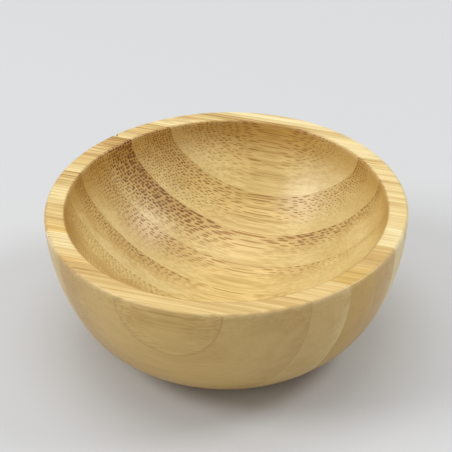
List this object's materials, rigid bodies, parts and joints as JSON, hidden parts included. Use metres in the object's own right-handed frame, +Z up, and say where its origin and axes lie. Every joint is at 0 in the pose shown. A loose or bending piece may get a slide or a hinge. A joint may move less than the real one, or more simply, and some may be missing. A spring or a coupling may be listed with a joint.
{
  "type": "shaving bowl",
  "caption": "Shallow round lather bowl turned from glued bamboo strips, with a smooth open hollow, a flat rim and a flat underside to stand on.",
  "frame": {"origin": "centre of the flat underside, on the surface that the bowl stands on", "axes": "+Z is up along the bowl's axis; the bamboo's fibres run along X; the strips lie side by side along Y and are numbered from the -Y side"},
  "size_m": [0.11, 0.11, 0.045],
  "materials": {
    "bamboo_pale": "satin, lightly oiled bamboo, the pale strips",
    "bamboo_honey": "satin, lightly oiled bamboo, the honey-coloured strips",
    "bamboo_amber": "satin, lightly oiled bamboo, the darkest strips"
  },
  "bodies": {
    "root": {"strip_01": "bamboo_pale", "strip_02": "bamboo_honey", "strip_03": "bamboo_pale", "strip_04": "bamboo_amber", "strip_05": "bamboo_pale", "strip_06": "bamboo_honey", "strip_07": "bamboo_amber", "strip_08": "bamboo_honey", "strip_09": "bamboo_pale", "strip_10": "bamboo_honey", "strip_11": "bamboo_pale"}
  },
  "joints": []
}
